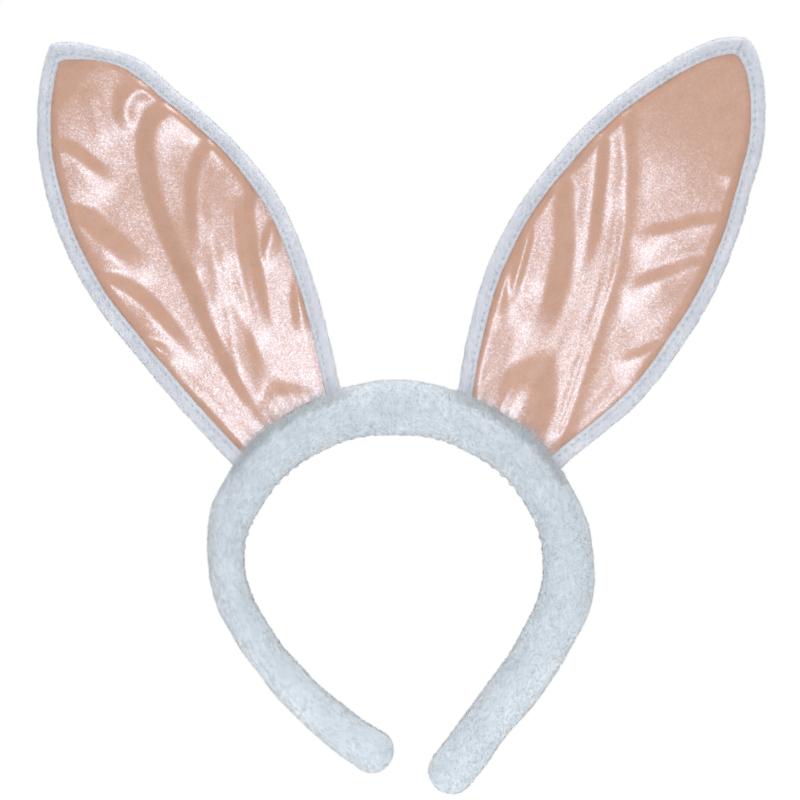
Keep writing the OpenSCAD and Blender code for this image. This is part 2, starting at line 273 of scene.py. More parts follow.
def cap_faces(centre, ring):
    """Quads that close a ring with an even number of points round a centre point."""
    first, middle, last = ring[0::2], ring[1::2], np.roll(ring[0::2], -1)
    return np.stack([np.full(len(first), centre), first, middle, last], axis=1)


def capped_tube(rings):
    """Points and faces of a tube through these rings, closed at both ends."""
    rows, n = rings.shape[:2]
    flat = rings.reshape(-1, 3)
    ends = [np.arange(n)[::-1], (rows - 1) * n + np.arange(n)]
    middles = [flat[ring].mean(axis=0) for ring in ends]
    caps = [cap_faces(rows * n + k, ring) for k, ring in enumerate(ends)]
    return np.vstack([flat] + middles), np.vstack([ring_faces(rows, n)] + caps)


def cloth_shell(front, thickness):
    """Points and faces of a sheet given by its front grid, with its back straight behind it."""
    rows, n = front.shape[:2]
    back = front + np.array([0, 1, 0]) * thickness
    size = rows * n
    index = np.arange(size).reshape(rows, n)
    rim = np.concatenate([index[0, :-1], index[:-1, -1], index[-1, :0:-1], index[:0:-1, 0]])
    following = np.roll(rim, -1)
    side = np.stack([rim, following, following + size, rim + size], axis=1)
    quads = grid_faces(rows, n)
    faces = np.vstack([quads[:, ::-1], quads + size, side[:, ::-1]])
    return np.concatenate([front.reshape(-1, 3), back.reshape(-1, 3)]), faces


# ---- Band -------------------------------------------------------------------------------------

RING_N = 72                         # points round the band
RING_STEP = 1.0                     # distance between two rings
LUMP, LUMP_SIZE = 0.85, 17.0        # soft unevenness of the stuffing
TUFT, TUFT_SIZE = 0.3, 5.0          # clumps of the pile
GROOVE, GROOVE_W = 1.1, 1.2         # dip of the plush along its closing seam
PILE_DEPTH = 0.5                    # how far the cloth lies below the pile's outer face
SLOT_EASE, SLOT_EASE_REACH = 1.2, 14.0   # extra room for the core strip where a shoulder bends


def crown_point(angle):
    a = math.radians(angle)
    return [CROWN_R * math.sin(a), CROWN_Z + CROWN_R * math.cos(a)]


def half_line(side):
    """[distance from the middle plane, z, thickness, depth] down one half of the band."""
    shoulder_t = SHOULDER_T[side]
    crown = []
    for angle in np.linspace(0, SHOULDER_ANGLE, 90, endpoint=False):
        f = angle / SHOULDER_ANGLE
        crown.append(crown_point(angle) + [CROWN_T + (shoulder_t - CROWN_T) * f,
                                           CROWN_DEPTH + (ARM_DEPTH - CROWN_DEPTH) * f])
    lead = crown_point(SHOULDER_ANGLE - 12) + [shoulder_t, ARM_DEPTH]
    top = crown_point(SHOULDER_ANGLE) + [shoulder_t, ARM_DEPTH]
    arm = [row + [ARM_DEPTH] for row in ARM_LINE[side]]
    arm[-1][3] = TIP_DEPTH
    knots = np.array([lead, top] + arm, float)
    return np.array(crown + curve(np.vstack([knots, 2 * knots[-1] - knots[-2]]), 30))


def stations(line, inset, end_gap=0.0):
    """Rings [x, z, way x, way z, half thickness, half depth] down one half of the band, and its tip."""
    along = lengths(line[:, :2])
    end_r = line[-1, 2] / 2 - inset
    stop = along[-1] - inset - end_gap - end_r
    swing = np.radians(np.arange(0, 86, 5))
    stops = np.concatenate([np.arange(0, stop - 0.3, RING_STEP), stop + end_r * np.sin(swing)])
    shrink = np.concatenate([np.ones(len(stops) - len(swing)), np.cos(swing)])
    rows = at_lengths(line, along, stops)
    ahead, behind = (at_lengths(line, along, np.clip(stops + d, 0, along[-1])) for d in (0.5, -0.5))
    way = (ahead - behind)[:, :2]
    way[0] = [1, 0]
    size = (rows[:, 2:] / 2 - inset) * shrink[:, None]
    tip = at_lengths(line, along, [along[-1] - inset - end_gap])[0]
    return np.hstack([rows[:, :2], unit(way), size]), np.array([tip[0], 0, tip[1]])


def oval_rings(rings, relief=None):
    """Points of the oval sections at these rings, moved outwards by relief(points, angle, size)."""
    angle = np.linspace(0, 2 * np.pi, RING_N, endpoint=False)
    size = rings[:, None, 4:]
    out = unit(np.stack([np.cos(angle) * size[..., 1], np.sin(angle) * size[..., 0]], axis=-1))
    offset = np.stack([np.cos(angle) * size[..., 0], np.sin(angle) * size[..., 1]], axis=-1)
    points = section_points(rings, offset)
    if relief is not None:
        offset = offset + out * relief(points, angle, size)[..., None]
        points = section_points(rings, offset)
    return points


def section_points(rings, offset):
    """Points at [outwards, back] offsets from each ring's centre."""
    x, z, way_x, way_z = (rings[:, k, None] for k in range(4))
    h, y = offset[..., 0], offset[..., 1]
    return np.stack([x - way_z * h, y, z + way_x * h], axis=-1)


def plush_relief(points, angle, size):
    """Stuffing lumps, pile clumps and the dip along the closing seam on the inner face."""
    relief = LUMP * lumps(points, LUMP_SIZE, 1) + TUFT * lumps(points, TUFT_SIZE, 2)
    around = (angle - np.pi) * size[..., 0]
    return relief - GROOVE * np.exp(-(around / GROOVE_W) ** 2) * np.minimum(1, size[..., 0] / 6)


def slot_rings(line):
    """Points and tip of the slot that holds the core strip, wider where the shoulder bends."""
    rings, tip = stations(line, 0, CORE_END - SLOT_GAP)
    shoulder = np.array(crown_point(SHOULDER_ANGLE))
    near = np.exp(-(np.linalg.norm(rings[:, :2] - shoulder, axis=1) / SLOT_EASE_REACH) ** 2)
    angle = np.linspace(0, 2 * np.pi, RING_N, endpoint=False)
    c, s = np.cos(angle), np.sin(angle)
    square = 1 / np.maximum(abs(c), abs(s))
    h = (CORE_T / 2 + SLOT_GAP + SLOT_EASE * near)[:, None] * c * square
    y = (CORE_W / 2 + SLOT_GAP) * s * square
    shrink = (rings[:, 4] / rings[:, 4].max() > 0.5)[:, None]
    return section_points(rings, np.stack(np.broadcast_arrays(h * shrink, y * shrink), axis=-1)), tip


def tube_shell(inner, outer, inner_end, outer_end):
    """A closed skin: out along the outer rings, and back along the inner ones, from the middle plane."""
    rings = np.concatenate([inner[::-1], outer])
    rows, n = rings.shape[:2]
    last = (rows - 1) * n + np.arange(n)
    points = np.vstack([rings.reshape(-1, 3), inner_end, outer_end])
    faces = np.vstack([ring_faces(rows, n), cap_faces(rows * n, np.arange(n)),
                       cap_faces(rows * n + 1, last[::-1])])
    return points, faces


def sided(points, faces, side):
    """Turns the right-hand half's points and faces into those of the side asked for."""
    if side == "right":
        return points, faces
    return points * [-1, 1, 1], faces[:, ::-1]


def band_half(side, materials):
    """One half of the band: its padding, its plush cover with pile, and the seam's stitches."""
    line = half_line(side)

    outer, outer_tip = stations(line, PILE_DEPTH)
    inner, inner_tip = stations(line, COVER_WALL)
    skin = tube_shell(oval_rings(inner), oval_rings(outer, plush_relief), inner_tip, outer_tip)
    points, faces = sided(*skin, side)
    middle = np.abs(points[:, 0]) < 1e-6
    cover = mesh_piece(f"band_cover_{side}_half", points, faces, materials["plush"], "plush", middle)
    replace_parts(cover, f"band_cover_{side}", "band_cover_crown")
    outside = np.arange(len(cover.data.polygons)) >= len(inner) * RING_N
    fur = pile(f"band_pile_{side}_half", cover, outside, BAND_PILE, materials["pile"])

    slot, slot_tip = slot_rings(line)
    stuffing, stuffing_tip = stations(line, COVER_WALL + FIT_GAP)
    fill = tube_shell(slot, oval_rings(stuffing), slot_tip, stuffing_tip)
    points, faces = sided(*fill, side)
    padding = mesh_piece(f"band_padding_{side}_half", points, faces, materials["wadding"], "wadding")
    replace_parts(padding, f"band_padding_{side}", "band_padding_crown")

    stitches = band_seam(side, line, materials["thread"])
    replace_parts(stitches, f"band_seam_{side}", "band_seam_crown")
    for piece in (cover, fur, padding, stitches):
        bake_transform(piece)


# ---- Pile and thread --------------------------------------------------------------------------


@dataclass
class Pile:
    """Short fibres that stand on a plush face. Density is per square mm."""
    length: float
    width: float
    density: float
    lean: float                     # how far the fibres lie over, as a share of their length
    clump: float                    # distance over which neighbours lean together
    rise: float = 0.0               # how much longer the fibres beside an ear's foot are


BAND_PILE = Pile(length=1.1, width=0.2, density=5.0, lean=0.6, clump=3.0, rise=3.4)
EAR_PILE = Pile(length=1.0, width=0.18, density=5.0, lean=0.6, clump=2.2)
ROOT_DEPTH = 0.25                   # how far a fibre starts below the cloth's face
CLUMP_LEAN, STRAY_LEAN = 1.3, 0.45  # how much neighbours lean together, and each fibre on its own
SHORTEST, LONGEST = 0.6, 1.25       # lengths of the fibres, as shares of their pile's length
RISE_OUT, RISE_FRONT = 1.2, 0.5     # how far the fibres beside an ear's foot are pushed over
FACE_ON = 0.35                      # how far the pile's shading is turned to the front or the back
FRONT_Y = 1.0                       # fibres before it count as the front's, and the rest as the back's


def surface_samples(mesh, chosen, density):
    """Points in mm and normals spread at random over the chosen faces."""
    mesh.calc_loop_triangles()
    count = len(mesh.loop_triangles)
    corner, owner = np.zeros(count * 3, np.int32), np.zeros(count, np.int32)
    mesh.loop_triangles.foreach_get("vertices", corner)
    mesh.loop_triangles.foreach_get("polygon_index", owner)
    corner = corner.reshape(-1, 3)[chosen[owner]]
    spots, normals = (np.zeros(len(mesh.vertices) * 3, np.float32) for _ in range(2))
    mesh.vertices.foreach_get("co", spots)
    mesh.vertices.foreach_get("normal", normals)
    spots, normals = spots.reshape(-1, 3) / MM, normals.reshape(-1, 3)
    a, b, c = (spots[corner[:, k]] for k in range(3))
    area = np.linalg.norm(np.cross(b - a, c - a), axis=1) / 2
    picks = rng.choice(len(area), int(area.sum() * density), p=area / area.sum())
    weights = rng.dirichlet([1, 1, 1], len(picks))[..., None]
    point, normal = ((values[corner[picks]] * weights).sum(axis=1) for values in (spots, normals))
    return point, unit(normal)


SEAT_HALF_W, SEAT_FADE = EAR_BASE_W + 3, 5.0    # reach along the band, and its soft end
SEAT_LOW = -20.0                    # lowest v that belongs to the crown under an ear
SEAT_R, SEAT_R_FADE = 79.0, 3.5     # least distance from the crown's centre
SEAT_Y, SEAT_Y_FADE = 4.5, 2.0      # least distance from the ear's middle layer


def seat_share(root):
    """How much points on the band's plush lie beside an ear's foot, from 0 to 1."""
    share = np.zeros(len(root))
    for ear in EARS:
        u, v = ear.own(root)
        share = np.maximum(share, smooth((SEAT_HALF_W - np.abs(u)) / SEAT_FADE) * (v > SEAT_LOW))
    radius = np.hypot(root[:, 0], root[:, 2] - CROWN_Z)
    aside = np.abs(root[:, 1])
    return share * smooth((radius - SEAT_R) / SEAT_R_FADE) * smooth((aside - SEAT_Y) / SEAT_Y_FADE)


def pile(name, cloth, chosen, kind, material):
    """A piece of closed, four-faced fibres that stand on the chosen faces of a plush cloth."""
    root, normal = surface_samples(cloth.data, chosen, kind.density)
    drift = np.array([noise.noise_vector(Vector(p / kind.clump)) for p in root])
    drift = drift * CLUMP_LEAN + rng.normal(0, STRAY_LEAN, root.shape)
    drift -= normal * (drift * normal).sum(axis=1)[:, None]
    way = normal + kind.lean * drift
    length = kind.length * rng.uniform(SHORTEST, LONGEST, len(root))[:, None]
    seat = seat_share(root)[:, None] if kind.rise else np.zeros((len(root), 1))
    outward = unit((root - [0, 0, CROWN_Z]) * [1, 0, 1])
    front = np.where(root[:, 1:2] < FRONT_Y, [0, -1, 0], [0, 1, 0])
    way += seat * (RISE_OUT * outward + RISE_FRONT * front)
    length *= 1 + kind.rise * seat
    way = unit(way)
    aside = unit(np.cross(way, rng.normal(size=root.shape)))
    other = np.cross(way, aside)
    foot = root - normal * ROOT_DEPTH
    corners = [foot + kind.width * (aside * math.cos(t) + other * math.sin(t)) / 2
               for t in np.radians([0, 120, 240])]
    points = np.stack(corners + [foot + way * length], axis=1)
    first = np.arange(len(root))[:, None, None] * 4
    faces = first + np.array([[0, 1, 3], [1, 2, 3], [2, 0, 3], [2, 1, 0]])
    fur = mesh_piece(name, points, faces.reshape(-1, 3), material, "plush")
    # the fibres take the light as the cloth below them would, and a little more face on
    facing = unit(normal + FACE_ON * front)
    fur.data.normals_split_custom_set_from_vertices(np.repeat(facing, 4, axis=0))
    return fur


THREAD_SIDES, THREAD_RINGS = 6, 7


def thread_row(name, starts, ends, outward, radius, arch, material):
    """A piece of stitches: rounded threads that dive into the cloth at each end."""
    f = np.linspace(0, 1, THREAD_RINGS)[None, :, None]
    starts, ends, outward = (np.asarray(a, float)[:, None, :] for a in (starts, ends, outward))
    middle = starts + (ends - starts) * f + outward * arch * (np.sin(np.pi * f) ** 0.6 - 0.5)
    way = unit(ends - starts)
    aside = np.cross(way, outward)
    turn = np.linspace(0, 2 * np.pi, THREAD_SIDES, endpoint=False)[:, None]
    r = radius * np.sin(np.pi * (0.12 + 0.76 * f[..., None]))
    round_ = np.cos(turn) * aside[:, :, None, :] + np.sin(turn) * outward[:, :, None, :]
    points = middle[:, :, None, :] + r * round_
    count = len(points)
    one = THREAD_RINGS * THREAD_SIDES
    side = ring_faces(THREAD_RINGS, THREAD_SIDES)
    last = (THREAD_RINGS - 1) * THREAD_SIDES
    close = np.array([[0, 1, 2, 3], [0, 3, 4, 5], [3, 2, 1, 0], [5, 4, 3, 0]])
    close[2:] += last
    pattern = np.vstack([side, close])
    faces = (np.arange(count)[:, None, None] * one + pattern).reshape(-1, 4)
    return mesh_piece(name, points.reshape(-1, 3), faces, material, "thread")


SEAM_PITCH, SEAM_STITCH, SEAM_SLANT = 6.0, 3.4, 1.0
SEAM_SINK = 0.55                    # how deep the stitches lie, as a share of the groove
SEAM_THREAD_R, SEAM_ARCH = 0.28, 0.9


def band_seam(side, line, material):
    """Slanting stitches that close the plush along the band's inner face."""
    along = lengths(line[:, :2])
    stops = np.arange(SEAM_PITCH / 2, along[-1] - 8, SEAM_PITCH)
    marks = []
    for shift in (-SEAM_STITCH / 2, SEAM_STITCH / 2):
        rows = at_lengths(line, along, stops + shift)
        ahead, behind = (at_lengths(line, along, stops + shift + d) for d in (0.5, -0.5))
        way = unit((ahead - behind)[:, :2])
        inward = np.stack([way[:, 1], 0 * way[:, 0], -way[:, 0]], axis=1)
        slant = np.full(len(rows), math.copysign(SEAM_SLANT, shift))
        centre = np.stack([rows[:, 0], slant, rows[:, 1]], axis=1)
        marks.append((centre + inward * (rows[:, 2, None] / 2 - GROOVE * SEAM_SINK), inward))
    mirror = np.array([SIGN[side], 1, 1])
    (starts, inward), (ends, _) = marks
    return thread_row(f"band_seam_stitches_{side}_half", starts * mirror, ends * mirror,
                      inward * mirror, SEAM_THREAD_R, SEAM_ARCH, material)


# ---- Folds of the satin -----------------------------------------------------------------------


@dataclass
class Pleat:
    """A soft step in the satin. Going along it, the cloth is high on the right-hand side."""
    line: list                      # (u, v) points
    drop: float                     # height of the step
    width: float                    # width of the steep part
    reach: float                    # how far the high side takes to level out
    fade: tuple = (0.02, 0.3)       # shares of the line over which it grows and dies away


@dataclass
class Ridge:
    """A narrow raised fold, or a crease where its height is negative."""
    line: list
    height: float
    width: float
    fade: tuple = (0.15, 0.3)
    power: int = 2                  # 2 gives a round top, and 4 a flat one


@dataclass
class Flap:
    """A triangular facet that rises from its apex to the middle of its base and drops behind it."""
    apex: tuple
    base: tuple
    half_width: float
    height: float


LEFT_SWELLS = [
    # the tip, which leans back above a broad swell
    Pleat([(-90, 148), (-40, 151), (-18, 160), (-6, 165), (4, 169), (16, 169), (40, 156), (90, 148)],
          1.7, 12, 42, (0.01, 0.01)),
]
LEFT_FOLDS = [
    # puckers below the tip
    Ridge([(9, 133), (11, 142), (16, 147), (23, 147), (34, 140)], 1.2, 3.8, (0.3, 0.01)),
    Ridge([(2, 162), (3, 154), (0, 144), (-4, 132)], 0.52, 4.5, (0.3, 0.4)),
    # the pleats that run down from the left edge
    Pleat([(-30, 156), (-19, 146), (-14, 140), (-11, 132), (-5, 118)], 1.56, 6, 18, (0.02, 0.4)),
    Pleat([(-50, 124), (-28, 117), (-22, 105), (-18, 93), (-12, 76)], 2.86, 11, 20, (0.02, 0.4)),
    Pleat([(-54, 95), (-33, 89), (-26, 82), (-21, 70), (-18, 52), (-15, 34)], 2.21, 7.5, 18, (0.02, 0.4)),
    Pleat([(-50, 68), (-34, 60), (-28, 54), (-22, 45)], 1.56, 5, 11),
    Pleat([(-18, -16), (-23, 14), (-28, 32), (-35, 50)], 0.65, 2.6, 12),
    # the main pleat, from the middle of the base to the upper right
    Pleat([(-3, 52), (-1, 80), (1, 96), (5, 112), (11, 126), (18, 134), (27, 136), (60, 136)],
          2.6, 8.5, 32, (0.16, 0.01)),
    Pleat([(-9, 0), (-7, 35), (-4, 62), (-1, 84), (1, 100)], 1.7, 5.5, 14, (0.3, 0.3)),
    # the pleats that run up to the right edge
    Pleat([(3, 68), (9, 84), (15, 96), (22, 106), (32, 113), (60, 122)], 1.56, 5.5, 14, (0.35, 0.02)),
    Pleat([(60, 104), (38, 86), (30, 73), (24, 58), (18, 42), (12, 26)], 1.82, 5.5, 30, (0.02, 0.35)),
    Pleat([(24, 56), (30, 64), (38, 71), (54, 78)], 0.78, 3.5, 6, (0.3, 0.02)),
    Pleat([(22, 24), (28, 34), (35, 45), (52, 62)], 1.17, 4.5, 9, (0.35, 0.02)),
    # streaks on the broad swell between them
    Ridge([(56, 112), (32, 93), (23, 80), (14, 62), (7, 46), (0, 30), (-7, 11)], 0.59, 5.0,
          (0.02, 0.2), 4),
    Ridge([(33, 90), (25, 78), (19, 62), (13, 45), (8, 28)], 0.39, 2.0),
    # the pocket at the foot
    Flap((5, 17), (4, 8), 13, 1.1),
]
RIGHT_SWELLS = [
    # the tip, which leans back, and the broad rise to the right of the middle
    Pleat([(-90, 156), (0, 160), (90, 156)], 2.2, 60, 50, (0.01, 0.01)),
    Pleat([(-12, 50), (-4, 80), (4, 100), (18, 120), (50, 150)], 1.2, 26, 40, (0.4, 0.02)),
]
RIGHT_FOLDS = [
    # a pucker at the right edge
    Ridge([(54, 140), (32, 135), (21, 132), (12, 129)], 1.3, 4.0, (0.02, 0.5)),
    # the long double fold from the upper left to the base
    Ridge([(-54, 148), (-30, 130), (-20, 118), (-12, 105), (-6, 93), (1, 76), (6, 57), (11, 36),
           (16, 15), (20, -4)], 0.85, 3.7, (0.02, 0.05)),
    Ridge([(-20, 118), (-11, 101), (-5, 88), (1, 72), (6, 55), (10, 38), (15, 18), (18, 2)], -0.35, 1.0,
          (0.4, 0.05)),
    # the pleats that run down from the left edge
    Pleat([(-54, 134), (-32, 119), (-25, 108), (-19, 96), (-12, 80), (-7, 62)], 1.43, 5.5, 12),
    Pleat([(-60, 100), (-36, 94), (-29, 85), (-22, 74), (-17, 62), (-12, 46), (-9, 30)], 2.6, 11, 30),
    # puckers at the left edge
    Ridge([(-54, 88), (-38, 69), (-34, 59), (-31, 49), (-27, 37)], 1.17, 1.9, (0.02, 0.3)),
    Pleat([(-48, 64), (-36, 51), (-32, 43), (-27, 31)], 1.04, 4, 8),
    Pleat([(-22, -16), (-27, 12), (-32, 30), (-38, 46)], 0.65, 2.6, 12),
    # the pleats that run up to the right edge
    Pleat([(-3, 87), (5, 95), (14, 103), (22, 111), (50, 130)], 1.0, 5, 20, (0.3, 0.02)),
    Pleat([(5, 64), (14, 77), (22, 87), (30, 96), (54, 114)], 1.7, 7, 30, (0.35, 0.02)),
    Pleat([(20, 39), (28, 50), (35, 59), (54, 74)], 1.2, 5, 18, (0.35, 0.02)),
    Pleat([(22, 3), (28, 22), (33, 38), (50, 62)], 0.5, 4, 12, (0.2, 0.02)),
    # the pocket at the foot
    Flap((-4, 34), (-3, 9), 18, 2.5),
]


def along_line(u, v, knots):
    """(signed distance, share of the way) from a line, positive on its right-hand side."""
    line = smooth_line(knots)
    at = lengths(line) / lengths(line)[-1]
    best = np.full(u.shape, 1e9)
    signed, share = np.zeros(u.shape), np.zeros(u.shape)
    for a, b, t0, t1 in zip(line[:-1], line[1:], at[:-1], at[1:]):
        way = b - a
        pu, pv = u - a[0], v - a[1]
        t = np.clip((pu * way[0] + pv * way[1]) / (way @ way), 0, 1)
        far = np.hypot(pu - t * way[0], pv - t * way[1])
        near = far < best
        side = np.sign(pu * way[1] - pv * way[0])
        best = np.where(near, far, best)
        signed = np.where(near, far * side, signed)
        share = np.where(near, t0 + (t1 - t0) * t, share)
    return signed, share


def flap_height(u, v, flap):
    """Height of a triangular facet."""
    axis = np.subtract(flap.base, flap.apex)
    reach = np.hypot(*axis)
    way = axis / reach
    down = ((u - flap.apex[0]) * way[0] + (v - flap.apex[1]) * way[1]) / reach
    aside = np.abs((u - flap.apex[0]) * way[1] - (v - flap.apex[1]) * way[0])
    edge = aside / (flap.half_width * np.clip(0.15 + 0.85 * down, 0.1, 1.3))
    arch = down + 0.35 * (aside / flap.half_width) ** 2
    return flap.height * soft_step(down) * (1 - smooth(edge)) * (1 - smooth((arch - 0.95) / 2.2))


def fold_height(u, v, folds):
    """Height of the folded satin in front of its flat lie."""
    total = np.zeros(u.shape)
    for fold in folds:
        if isinstance(fold, Flap):
            total += flap_height(u, v, fold)
            continue
        far, share = along_line(u, v, fold.line)
        grow = smooth(share / fold.fade[0]) * smooth((1 - share) / fold.fade[1])
        if isinstance(fold, Ridge):
            total += fold.height * grow * np.exp(-np.abs(far / fold.width) ** fold.power)
            continue
        step = soft_step(far / fold.width + 0.5)
        level = 1 - soft_step((far - fold.width / 2) / fold.reach)
        total += fold.drop * grow * step * level
    return total


def evened(height, passes=2):
    """The heights of a grid, each drawn towards the mean of its neighbours."""
    for _ in range(passes):
        padded = np.pad(height, [(1, 1), (0, 0)], mode="edge")
        height = (padded[:-2] + 2 * height + padded[2:]) / 4
        padded = np.pad(height, [(0, 0), (1, 1)], mode="edge")
        height = (padded[:, :-2] + 2 * height + padded[:, 2:]) / 4
    return height


def fine_wrinkles(u, v, seed):
    """Slight wrinkles that fan out from the ear's base."""
    fan = np.arctan2(u, v + 60)
    far = np.hypot(u, v + 60)
    points = np.stack([fan * 110, far / 6, np.full(u.shape, float(seed))], axis=-1)
    return lumps(points, 5.5, seed) + 0.4 * lumps(points, 2.4, seed + 1)


# ---- Ears -------------------------------------------------------------------------------------

FLOOR_R = 83.6                      # how deep the ears' cloth reaches into the band's plush
BINDING_R = 79.5                    # how deep the binding's ends reach into it
SATIN_Y, SATIN_T = -2.35, 0.35
INTERLINING_Y, INTERLINING_T = -1.9, 2.4
BACK_Y, BACK_T = 1.2, 1.2
SATIN_ROWS, SATIN_COLUMNS = 230, 110
WRINKLE = 0.12
SEAM_EASE = 1.5                     # how far outside its seam the satin starts to rise
FOLD_REACH, SWELL_REACH = 3.5, 5.0  # how far its folds and its swell then take to reach full height
FOLD_AT_SEAM, SWELL_AT_SEAM = 0.1, 0.15  # shares of them that are left at the seam
SWELL = 0.25                        # how far all of the satin stands off its flat lie
LEAST_RISE = -0.05                  # keeps the satin in front of the interlining
RIM_HALF_Y, RIM_MIDDLE, RIM_HALF_W = 4.3, 3.9, 3.25
HOLLOW_HALF_Y, HOLLOW_MIDDLE, HOLLOW_HALF_W = 3.0, 3.95, 2.95
RIM_SQUARENESS, HOLLOW_SQUARENESS = 3.2, 5  # 2 is an oval, and more is boxier
RIM_TURN, HOLLOW_TURN = (22, 338, 34), (330, 30, 14)   # from and to degrees, and points
RIM_FLAT_Y = 2.0                    # how far out the binding's front and back faces start
RIM_WAVE = 0.35                     # unevenness of its outer edge
STITCH_PITCH, STITCH_LEN, STITCH_INSET = 3.4, 1.5, 5.0
STITCHES_Y, STITCH_R, STITCH_ARCH = -3.75, 0.3, 0.5
DIMPLE, DIMPLE_BEAT, DIMPLE_W = 0.35, 0.45, 0.9    # depth, extra depth at each stitch, half width
BASE_PITCH, BASE_STITCH, BASE_RISE, BASE_ARCH = 4.5, 3.0, 2.5, 0.6
WIRE_INSET, WIRE_R, WIRE_SIDES = 2.1, 0.6, 8
WIRE_STEP, WIRE_RISE = 1.5, 1.5     # distance between its rings, and how high above the floor it starts
BACK_ROWS, BACK_COLUMNS = 120, 60
BACK_DOME, BACK_DOME_REACH, BACK_WAVE_REACH = 1.4, 12.0, 4.0
LINING_ROWS, LINING_COLUMNS = 100, 50
BEND_BELOW, BEND_ABOVE = -3.2, 3.4  # stretch of v round the hinge where the cloth would bend, worked out but not used


def leaf_grid(ear, inset, rows, columns):
    """(u, v, share across) over the ear's leaf, from the band to just short of the tip."""
    across = np.linspace(-1, 1, columns)[None, :]
    climb = np.linspace(0, 0.992, rows)[:, None]
    top = ear.top(inset)
    foot = ear.floor_v(across * (EAR_BASE_W - inset), FLOOR_R)
    v = foot + (top - foot) * climb
    half = np.where(across < 0, ear.half_width(v, "minus", inset), ear.half_width(v, "plus", inset))
    return across * half, v, np.broadcast_to(across, v.shape)


def seam_distance(ear, u, v, across):
    """How far points of the leaf lie inside the ear's outer edge."""
    half = np.where(across < 0, ear.half_width(v, "minus", 0), ear.half_width(v, "plus", 0))
    return np.minimum(half - np.abs(u), (ear.length - v) / TIP_INSET)


def satin_front(ear, swells, folds):
    """The satin: pleats and wrinkles that are held flat by the binding's seam."""
    inset = BORDER_W - SATIN_TUCK
    u, v, across = leaf_grid(ear, inset, SATIN_ROWS, SATIN_COLUMNS)
    inside = seam_distance(ear, u, v, across) - BORDER_W + SEAM_EASE
    folded = fold_height(u, v, folds) + WRINKLE * fine_wrinkles(u, v, 1 + SIGN[ear.side])
    swollen = SWELL + fold_height(u, v, swells)
    height = folded * (FOLD_AT_SEAM + (1 - FOLD_AT_SEAM) * smooth(inside / FOLD_REACH))
    height += swollen * (SWELL_AT_SEAM + (1 - SWELL_AT_SEAM) * smooth(inside / SWELL_REACH))
    height = np.maximum(evened(height), LEAST_RISE)
    return cloth_shell(ear.place(u, SATIN_Y - height, v), SATIN_T)


def boxy_arc(turn, squareness, middle, half_w, half_y):
    """(inset, y) points of part of a box with rounded corners."""
    angle = np.radians(np.linspace(*turn))
    c, s = np.cos(angle), np.sin(angle)
    power = 2 / squareness
    return middle + half_w * np.sign(c) * abs(c) ** power, -half_y * np.sign(s) * abs(s) ** power


def rim_profile():
    """The binding's section as insets and ys, round outside and then hollow, and its outer count."""
    outer = boxy_arc(RIM_TURN, RIM_SQUARENESS, RIM_MIDDLE, RIM_HALF_W, RIM_HALF_Y)
    inner = boxy_arc(HOLLOW_TURN, HOLLOW_SQUARENESS, HOLLOW_MIDDLE, HOLLOW_HALF_W, HOLLOW_HALF_Y)
    inset, y = (np.concatenate(pair) for pair in zip(outer, inner))
    return inset, y, len(outer[0])


def outline_ways(ear, inset, step, radius):
    """Places along the ear's outline, evenly spaced, where it is at least that far from the crown."""
    way = np.linspace(-1, 1, 4001)
    u, v = ear.edge_point(way, inset)
    way, u, v = (values[ear.from_crown(u, v) > radius] for values in (way, u, v))
    along = lengths(np.stack([u, v], axis=1))
    count = round(along[-1] / step)
    return np.interp(np.linspace(0, along[-1], count + 1), along, way)


def ear_binding(ear, materials):
    """The plush binding round the ear's edge, dimpled where its topstitches pull it in."""
    name = f"{ear.side}_ear"
    ways = outline_ways(ear, STITCH_INSET, STITCH_PITCH / 4, BINDING_R)
    inset, y, outer_n = rim_profile()
    u, v = ear.edge_point(ways[:, None], inset[None, :])
    points = ear.place(u, y[None, :] + 0 * u, v)
    beat = 0.5 + 0.5 * np.cos(2 * np.pi * np.arange(len(ways)) / 4)[:, None]
    pull = np.exp(-((inset - STITCH_INSET) / DIMPLE_W) ** 2) * (y < -RIM_FLAT_Y)
    points[..., 1] += (DIMPLE + DIMPLE_BEAT * beat) * pull
    soft = 0.3 * lumps(points, 11, 3) + 0.12 * lumps(points, 2.2, 4)
    is_outer = np.arange(len(inset)) < outer_n
    points[..., 1] += soft * np.sign(y) * is_outer * (np.abs(y) > RIM_FLAT_Y)
    rim = is_outer * (inset < RIM_MIDDLE)
    points[..., 0] += RIM_WAVE * lumps(points, 5, 7) * rim
    points[..., 2] += RIM_WAVE * lumps(points, 5, 8) * rim
    rows, n = points.shape[:2]
    points, faces = capped_tube(points)
    binding = mesh_piece(f"{name}_binding_plush", points, faces, materials["binding"], "plush")
    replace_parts(binding, f"{name}_binding")
    chosen = np.zeros(len(faces), bool)
    chosen[:(rows - 1) * n] = (np.arange((rows - 1) * n) % n) < outer_n - 1
    fur = pile(f"{name}_binding_pile", binding, chosen, EAR_PILE, materials["binding_pile"])
    return [binding, fur]


def ear_wire(ear, material):
    """The wire inside the binding that keeps the ear where it is put."""
    ways = outline_ways(ear, WIRE_INSET, WIRE_STEP, FLOOR_R + WIRE_RISE)
    u, v = ear.edge_point(ways, WIRE_INSET)
    run_u, run_v = np.gradient(u), np.gradient(v)
    size = np.hypot(run_u, run_v)
    turn = np.linspace(0, 2 * np.pi, WIRE_SIDES, endpoint=False)
    aside = WIRE_R * np.cos(turn)
    points = ear.place(u[:, None] - (run_v / size)[:, None] * aside, WIRE_R * np.sin(turn),
                       v[:, None] + (run_u / size)[:, None] * aside)
    wire = mesh_piece(f"{ear.side}_ear_edge_wire", *capped_tube(points), material, "edge_wire")
    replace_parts(wire, f"{ear.side}_ear_wire")
    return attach(wire, f"{ear.side}_ear")


